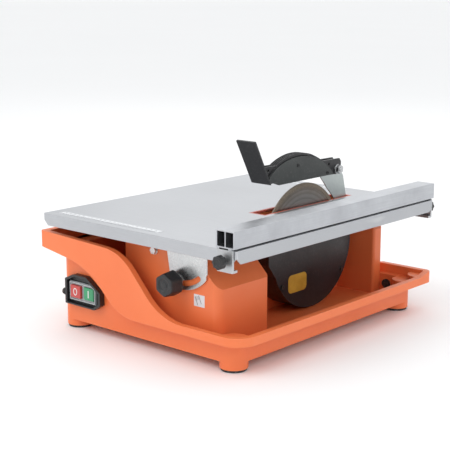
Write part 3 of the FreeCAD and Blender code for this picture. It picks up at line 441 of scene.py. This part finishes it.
def turned(centre, profile, outline=round_outline):
    """Points and faces of a closed form about a line along Y through centre.

    Each row of profile is (place along the line, radius, share of the outline's shape).
    """
    count = 72
    points, faces = [], []
    for along, radius, share in profile:
        for i in range(count):
            angle = TURN * i / count
            r = radius * (1 + share * (outline(angle) - 1))
            points.append((centre[0] + r * math.cos(angle), along, centre[2] + r * math.sin(angle)))
    rings = len(profile)
    for k in range(rings - 1):
        for i in range(count):
            j = (i + 1) % count
            here, there = k * count, (k + 1) * count
            faces.append((here + i, here + j, there + j, there + i))
    faces.append(tuple(reversed(range(count))))
    faces.append(tuple(range((rings - 1) * count, rings * count)))
    return points, faces


def slabs(boxes):
    """Points and faces of closed blocks, each (lowest corner, highest corner)."""
    sides = ((0, 2, 3, 1), (4, 5, 7, 6), (0, 1, 5, 4), (2, 6, 7, 3), (0, 4, 6, 2), (1, 3, 7, 5))
    points, faces = [], []
    for lo, hi in boxes:
        start = len(points)
        for z in (lo[2], hi[2]):
            for y in (lo[1], hi[1]):
                points += [(lo[0], y, z), (hi[0], y, z)]
        faces += [tuple(start + i for i in side) for side in sides]
    return points, faces


def swept_loops(count, loops):
    """Faces that join loops of count points each to the next, and the last to the first."""
    faces = []
    for k in range(loops):
        here, there = k * count, (k + 1) % loops * count
        for i in range(count):
            j = (i + 1) % count
            faces.append((here + i, here + j, there + j, there + i))
    return faces


def joined(parts):
    """Points and faces of several (points, faces) pairs as one."""
    points, faces = [], []
    for more, shapes in parts:
        start = len(points)
        points += more
        faces += [tuple(start + i for i in face) for face in shapes]
    return points, faces


def figure(text, size, place):
    """Points and faces of small raised figures that lie flat with their middle at place."""
    curve = bpy.data.curves.new("figure", "FONT")
    curve.body = text
    curve.size = size
    curve.extrude = 0.03 * MM
    curve.align_x = "CENTER"
    curve.align_y = "CENTER"
    curve.resolution_u = 3
    holder = bpy.data.objects.new("figure", curve)
    bpy.context.scene.collection.objects.link(holder)
    bpy.context.view_layer.update()
    graph = bpy.context.evaluated_depsgraph_get()
    mesh = bpy.data.meshes.new_from_object(holder.evaluated_get(graph))
    points = [tuple(v.co + Vector(place)) for v in mesh.vertices]
    faces = [tuple(f.vertices) for f in mesh.polygons]
    bpy.data.objects.remove(holder)
    bpy.data.curves.remove(curve)
    bpy.data.meshes.remove(mesh)
    return points, faces


# ---------------------------------------------------------------- knobs
def lock_knob():
    """The lobed knob of the tilt lock, with a round cap sunk in its face."""
    black = MATERIALS["black_plastic"]
    lo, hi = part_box("lock_knob")
    centre = (lo + hi) / 2
    front, back = lo.y, hi.y
    apothem = (hi.x - lo.x) / 2 * 0.88

    def behind(mm):
        """A place mm millimetres in from the front face."""
        return front + mm * MM

    def ahead(mm):
        """A place mm millimetres in from the back face."""
        return back - mm * MM

    face = [
        (behind(1.6), 0.3 * MM, 0), (behind(1.6), 9.0 * MM, 0), (behind(0.5), 10.2 * MM, 0.2),
        (front, 11.4 * MM, 0.5), (front, apothem - 4.0 * MM, 1),
    ]
    lobes = [
        (behind(0.5), apothem - 2.6 * MM, 1), (behind(1.7), apothem - 1.9 * MM, 1),
        (behind(3.0), apothem - 1.6 * MM, 1), (ahead(7.5), apothem, 1),
        (ahead(6.0), apothem - 0.4 * MM, 1), (ahead(5.0), apothem - 1.6 * MM, 0.9),
    ]
    neck = [
        (ahead(4.6), 13.0 * MM, 0.2), (ahead(4.0), 12.4 * MM, 0), (back, 12.0 * MM, 0),
        (back, 4.4 * MM, 0),
    ]
    grip = turned(centre, face + lobes + neck, hex_outline)
    knob = piece("lock_knob_grip", *grip, black, "lock", "black_plastic")
    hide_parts("lock_knob")
    soften(knob, 0.3, 2)

    dome = [
        (behind(1.7), 0.3 * MM, 0), (behind(0.7), 0.4 * MM, 0), (behind(0.8), 4.4 * MM, 0),
        (behind(1.2), 5.2 * MM, 0), (behind(1.7), 5.4 * MM, 0),
    ]
    cap = piece("lock_knob_cap", *turned(centre, dome), black, "lock", "black_plastic")
    soften(cap, 0.1, 2)


def clamp_knob(node, sign):
    """A fluted knob and its threaded shank. sign is the end of the fence that it is on, along Y."""
    lo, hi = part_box(node)
    centre = (lo + hi) / 2
    outer, tip = (lo.y, hi.y) if sign < 0 else (hi.y, lo.y)
    radius = (hi.x - lo.x) / 2 * 0.93

    def along(mm):
        """A place mm millimetres in from the knob's outer face."""
        return outer - sign * mm * MM

    head = [
        (along(1.2), 0.3 * MM, 0), (along(1.0), 4.5 * MM, 0), (along(0.2), 5.4 * MM, 0),
        (along(0), radius - 2.2 * MM, 0.8), (along(0.6), radius - 0.6 * MM, 1),
        (along(1.8), radius, 1), (along(8.5), radius, 1), (along(9.8), radius - 0.7 * MM, 0.9),
        (along(10.4), 6.5 * MM, 0), (along(11.2), 5.2 * MM, 0), (along(11.2), 3.0 * MM, 0),
    ]
    length = abs(tip - outer) / MM
    thread_start, pitch, point = 11.6, 1.0, 0.8
    thread = []
    for i in range(int((length - thread_start - point) / pitch)):
        root = thread_start + i * pitch
        thread += [(along(root), 2.6 * MM, 0), (along(root + pitch / 2), 3.0 * MM, 0)]
    end = [
        (along(length - point), 2.9 * MM, 0), (along(length), 2.2 * MM, 0),
        (along(length), 0.3 * MM, 0),
    ]
    points, faces = turned(centre, head + thread + end, fluted_outline)
    if sign > 0:
        faces = [tuple(reversed(face)) for face in faces]
    black = MATERIALS["black_plastic"]
    knob = piece(node + "_grip", points, faces, black, node, "black_plastic")
    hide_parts(node)
    soften(knob, 0.15, 2)


# ---------------------------------------------------------------- switch
# How far the two signs stand out of the buttons and reach into them.
SIGN_PROUD = 0.25 * MM
SIGN_SUNK = 0.4 * MM


def stop_mark():
    """An upright oval ring raised from the stop button's face."""
    half_width, half_height, stroke, count = 4.4 * MM, 6.0 * MM, 1.3 * MM, 48
    lo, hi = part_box("stop_button")
    centre = (lo + hi) / 2
    proud, sunk = lo.y - SIGN_PROUD, lo.y + SIGN_SUNK
    points = []
    for along, inset in ((proud, 0), (proud, stroke), (sunk, stroke), (sunk, 0)):
        for i in range(count):
            angle = TURN * i / count
            points.append((centre[0] + (half_width - inset) * math.cos(angle), along,
                           centre[2] + (half_height - inset) * math.sin(angle)))
    faces = swept_loops(count, 4)
    mark = piece("stop_mark", points, faces, white_print, "stop_button", "white_scale")
    soften(mark, 0.06, 1)


def start_mark():
    """An upright bar raised from the start button's face."""
    half_width, half_height = 1.0 * MM, 6 * MM
    lo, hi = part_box("start_button")
    middle = (lo + hi) / 2
    bar = [((middle.x - half_width, lo.y - SIGN_PROUD, middle.z - half_height),
            (middle.x + half_width, lo.y + SIGN_SUNK, middle.z + half_height))]
    mark = piece("start_mark", *slabs(bar), white_print, "start_button", "white_scale")
    soften(mark, 0.2, 2)


def switch_bezel():
    """Raised clear rim round the switch plate, with its top right corner cut off."""
    lo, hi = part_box("switch_plate")
    run, drop = 6.3 * MM, 4.2 * MM
    outer, inner = 1.2 * MM, 2.4 * MM
    front, back = lo.y - 1.6 * MM, lo.y + 0.2 * MM

    def loop(inset, along):
        left, right, low, high = lo.x + inset, hi.x - inset, lo.z + inset, hi.z - inset
        corners = [
            (left, low), (right, low), (right, high - drop), (right - run, high), (left, high),
        ]
        return [(x, along, z) for x, z in corners]

    loops = [loop(outer, back), loop(outer, front), loop(inner, front), loop(inner, back)]
    points = [point for ring in loops for point in ring]
    faces = swept_loops(len(loops[0]), len(loops))
    bezel = piece("switch_bezel", points, faces, clear_grey, "base", "switch_grey")
    soften(bezel, 0.3, 2)


# ---------------------------------------------------------------- rulers
def ruler(name, left, right, edge, top, side):
    """Millimetre strokes and centimetre figures, counted from the line of the blade.

    left, right and top are the printed strip's limits. The strokes start at edge and run towards
    side, which is 1 for +Y and -1 for -Y.
    """
    margin, indent, figure_offset, figure_size = 2, 0.5 * MM, 8.6 * MM, 4.6 * MM
    strokes, figures = [], []
    first = math.ceil((blade_centre.x - right) / MM) + margin
    last = math.floor((blade_centre.x - left) / MM) - margin
    for step in range(first, last + 1):
        x = blade_centre.x - step * MM
        length = (5.2 if step % 10 == 0 else 3.8 if step % 5 == 0 else 2.4) * MM
        width = (0.42 if step % 10 == 0 else 0.28) * MM
        near, far = sorted((edge + side * indent, edge + side * (indent + length)))
        low, high = top - 0.03 * MM, top + 0.05 * MM
        strokes.append(((x - width / 2, near, low), (x + width / 2, far, high)))
        if step % 10 == 0:
            place = (x, edge + side * figure_offset, top + 0.02 * MM)
            figures.append(figure(str(step // 10), figure_size, place))
    points, faces = joined([slabs(strokes)] + figures)
    piece(name, points, faces, ink, "table", "white_scale")


def rulers():
    lo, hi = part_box("scale_strips")
    ruler("front_ruler_marks", lo.x, hi.x, lo.y, hi.z, 1)
    ruler("rear_ruler_marks", lo.x, hi.x, hi.y, hi.z, -1)


def angle_marks():
    """Degree strokes that point at the hinge line, on the small scale under the front bracket."""
    first, count, start, margin = -76, 30, 77 * MM, 0.8 * MM
    lo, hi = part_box("angle_scale")

    def inside(point):
        return (lo.x + margin < point.x < hi.x - margin
                and lo.z + margin < point.z < hi.z - margin)

    parts = []
    for step in range(count):
        angle = math.radians(first + step)
        along = Vector((math.cos(angle), 0, math.sin(angle)))
        across = Vector((-math.sin(angle), 0, math.cos(angle)))
        reach, half = (13 * MM, 0.40 * MM) if step % 5 == 0 else (6 * MM, 0.16 * MM)
        near, far = hinge + along * start, hinge + along * (start + reach)
        corners = [near - across * half, far - across * half, far + across * half,
                   near + across * half]
        if all(inside(corner) for corner in corners):
            depths = (lo.y + 0.03 * MM, lo.y - 0.05 * MM)
            points = [(c.x, y, c.z) for y in depths for c in corners]
            faces = [(0, 3, 2, 1), (4, 5, 6, 7)]
            faces += [(i, (i + 1) % 4, 4 + (i + 1) % 4, 4 + i) for i in range(4)]
            parts.append((points, faces))
    piece("angle_marks", *joined(parts), ink, "base", "white_scale")


# ---------------------------------------------------------------- upper guard
def circle_through(a, b, c):
    """Centre and radius of the circle through three (y, z) points."""
    (ay, az), (by, bz), (cy, cz) = a, b, c
    double = 2 * (ay * (bz - cz) + by * (cz - az) + cy * (az - bz))
    square_a, square_b, square_c = ay * ay + az * az, by * by + bz * bz, cy * cy + cz * cz
    y = (square_a * (bz - cz) + square_b * (cz - az) + square_c * (az - bz)) / double
    z = (square_a * (cy - by) + square_b * (ay - cy) + square_c * (by - ay)) / double
    return y, z, math.hypot(ay - y, az - z)


def hood_ribs():
    """Fine moulded ribs that run over the arched roof of the hood."""
    lo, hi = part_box("blade_guard")
    front, peak, back = (lo.y, 246 * MM), (50 * MM, hi.z), (137 * MM, 236 * MM)
    y0, z0, radius = circle_through(front, peak, back)
    first = math.atan2(front[1] - z0, front[0] - y0) - math.radians(3)
    last = math.radians(62)
    ribs, count = 4, 40
    height, width, sunk, margin = 0.9 * MM, 1.1 * MM, 0.3 * MM, 1.6 * MM
    parts = []
    for k in range(ribs):
        x = lo.x + margin + k * (hi.x - lo.x - 2 * margin - width) / (ribs - 1)
        points, faces = [], []
        for i in range(count + 1):
            angle = first + (last - first) * i / count
            rise = height * min(1.0, 6 * min(i, count - i) / count)
            for r in (radius - sunk, radius + rise):
                y, z = y0 + r * math.cos(angle), z0 + r * math.sin(angle)
                points += [(x, y, z), (x + width, y, z)]
        for i in range(count):
            a, b = 4 * i, 4 * i + 4
            faces += [(a, b, b + 1, a + 1), (a + 2, a + 3, b + 3, b + 2)]
            faces += [(a, a + 2, b + 2, b), (a + 1, b + 1, b + 3, a + 3)]
        end = 4 * count
        faces += [(0, 1, 3, 2), (end, end + 2, end + 3, end + 1)]
        parts.append((points, faces))
    black = MATERIALS["black_plastic"]
    moulding = piece("hood_ribs", *joined(parts), black, "guard", "black_plastic")
    soften(moulding, 0.2, 2)


lock_knob()
clamp_knob("front_clamp_screw", -1)
clamp_knob("rear_clamp_screw", 1)
stop_mark()
start_mark()
switch_bezel()
rulers()
angle_marks()
hood_ribs()


# ---------------------------------------------------------------- studio
FLOOR_REACH = 60.0
LENS_MM, SENSOR_MM = 89.75, 36.0
CAMERA_PLACE = (1.1734, -1.3674, 0.5386)
CAMERA_TURN = (math.radians(77.98), 0.0, math.radians(41.54))
# Each lamp's name, place, width and power. All of them point at the origin.
LAMPS = [
    ("key", (-0.6, -2.2, 2.4), 1.8, 24.0),
    ("side", (2.6, -0.4, 1.7), 1.6, 4.0),
    ("top", (0.0, 0.3, 3.0), 2.4, 8.0),
    ("back", (-1.8, 2.2, 1.8), 1.6, 4.0),
]


def surroundings(scene):
    """A nearly white sky."""
    world = bpy.data.worlds.new("studio")
    world.use_nodes = True
    scene.world = world
    background = world.node_tree.nodes["Background"]
    background.inputs["Color"].default_value = (0.98, 0.99, 1.0, 1.0)
    background.inputs["Strength"].default_value = 0.98


def pale_floor(scene):
    r = FLOOR_REACH
    mesh = bpy.data.meshes.new("floor")
    mesh.from_pydata([(-r, -r, 0), (r, -r, 0), (r, r, 0), (-r, r, 0)], [], [(0, 1, 2, 3)])
    floor = bpy.data.objects.new("floor", mesh)
    scene.collection.objects.link(floor)
    pale = Finish("pale_floor", roughness=0.7, specular=0.2)
    pale.colour(pale.mix(pale.noise(0.8, 2.0), (0.93, 0.93, 0.93), (0.95, 0.95, 0.95)))
    mesh.materials.append(pale.material)


def lamps(scene):
    for name, spot, width, power in LAMPS:
        light = bpy.data.lights.new(name, "AREA")
        light.size = width
        light.energy = power
        lamp = bpy.data.objects.new(name, light)
        lamp.location = spot
        lamp.rotation_euler = (-Vector(spot)).to_track_quat("-Z", "Y").to_euler()
        scene.collection.objects.link(lamp)


def camera(scene):
    lens = bpy.data.cameras.new("camera")
    lens.lens = LENS_MM
    lens.sensor_width = SENSOR_MM
    viewer = bpy.data.objects.new("camera", lens)
    viewer.location = CAMERA_PLACE
    viewer.rotation_euler = Euler(CAMERA_TURN)
    scene.collection.objects.link(viewer)
    scene.camera = viewer


def studio():
    scene = bpy.context.scene
    scene.view_settings.view_transform = "Standard"
    surroundings(scene)
    pale_floor(scene)
    lamps(scene)
    camera(scene)


studio()
